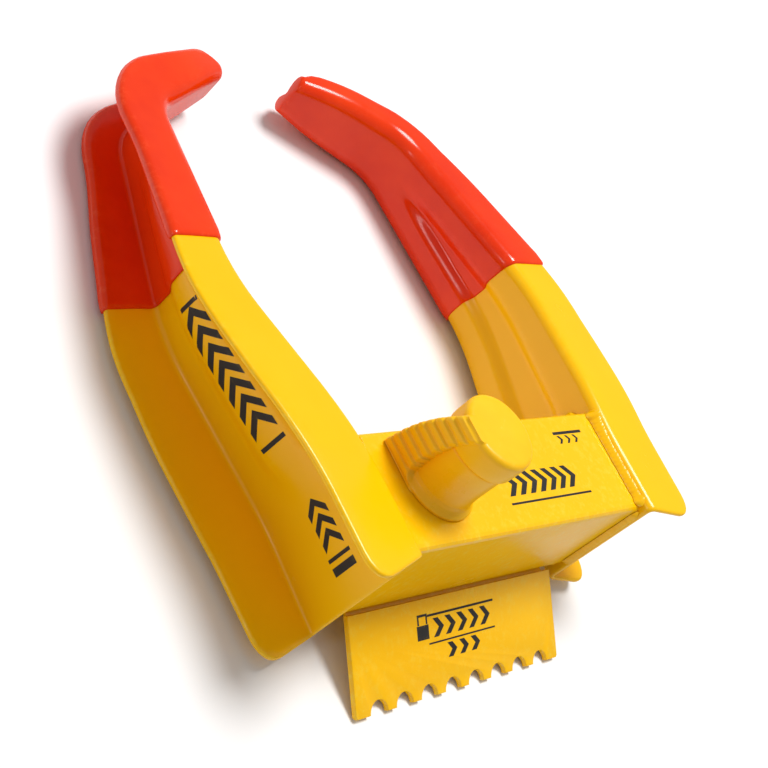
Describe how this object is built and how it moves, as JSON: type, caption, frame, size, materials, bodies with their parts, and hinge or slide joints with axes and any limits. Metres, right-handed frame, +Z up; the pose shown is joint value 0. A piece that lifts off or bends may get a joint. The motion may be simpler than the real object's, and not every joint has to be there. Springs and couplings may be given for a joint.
{
  "type": "wheel chock lock",
  "caption": "Adjustable wheel chock lock: two channel-section arms with dipped fingers on a telescoping body, a keyed push lock under a rubber boot and a serrated bite plate.",
  "frame": {"origin": "bottom centre of the bounding box, on the floor that the part rests on", "axes": "+X across between the arms, from the sliding arm to the fixed arm; +Y along the arms towards the fingertips; +Z up, out of the lock face, 5.4 degrees off its normal"},
  "size_m": [0.2916, 0.341, 0.1198],
  "materials": {
    "yellow_enamel": "gloss powder coat",
    "red_vinyl": "glossy vinyl dip",
    "yellow_rubber": "smooth moulded rubber",
    "zinc_plate": "zinc plated",
    "hardened_steel": "hardened, oiled",
    "brass": "machined",
    "chrome": "polished"
  },
  "bodies": {
    "frame_side": {"body": "yellow_enamel", "right_arm": "yellow_enamel", "right_arm_dip": "red_vinyl", "bite_plate": "yellow_enamel", "weld_front": "yellow_enamel", "weld_back": "yellow_enamel", "weld_top": "yellow_enamel", "weld_under": "yellow_enamel", "weld_bite": "yellow_enamel", "lock_housing": "zinc_plate", "set_screw": "hardened_steel", "retaining_ring": "hardened_steel", "lock_boot": "yellow_rubber", "return_spring": "hardened_steel"},
    "sliding_side": {"slide_tube": "zinc_plate", "left_arm": "yellow_enamel", "left_arm_dip": "red_vinyl", "stop_bolt": "zinc_plate", "stop_nut": "zinc_plate"},
    "lock_core": {"lock_barrel": "chrome", "lock_bolt": "hardened_steel"},
    "key_core": {"key_plug": "brass", "wafer_1": "brass", "wafer_2": "brass", "wafer_3": "brass", "wafer_4": "brass", "wafer_5": "brass", "plug_cam": "zinc_plate"},
    "latch": {"side_latch": "hardened_steel"},
    "cap": {"dust_cap": "yellow_rubber"}
  },
  "joints": [
    {"name": "arm_slide", "type": "slide", "parent": "frame_side", "child": "sliding_side", "axis": [-1, 0, 0], "range_m": [0, 0.07]},
    {"name": "lock_push", "type": "slide", "parent": "frame_side", "child": "lock_core", "axis": [0, -0.0945, -0.9955], "range_m": [0, 0.008], "stiffness_N_per_m": 300, "springref_m": -0.006, "deforming": ["return_spring"]},
    {"name": "key_turn", "type": "hinge", "parent": "lock_core", "child": "key_core", "pos_m": [-0.058, -0.08769, 0.09525], "axis": [0, 0.0945, 0.9955], "range_deg": [0, 90]},
    {"name": "latch_draw", "type": "slide", "parent": "lock_core", "child": "latch", "axis": [-1, 0, 0], "range_m": [0, 0.0015]},
    {"name": "cap_hinge", "type": "hinge", "parent": "frame_side", "child": "cap", "pos_m": [-0.0802, -0.08686, 0.10406], "axis": [0, -0.9955, 0.0945], "range_deg": [0, 110]}
  ],
  "couplings": [
    {"joint": "latch_draw", "follows": "key_turn", "m_per_rad": 0.00093}
  ]
}
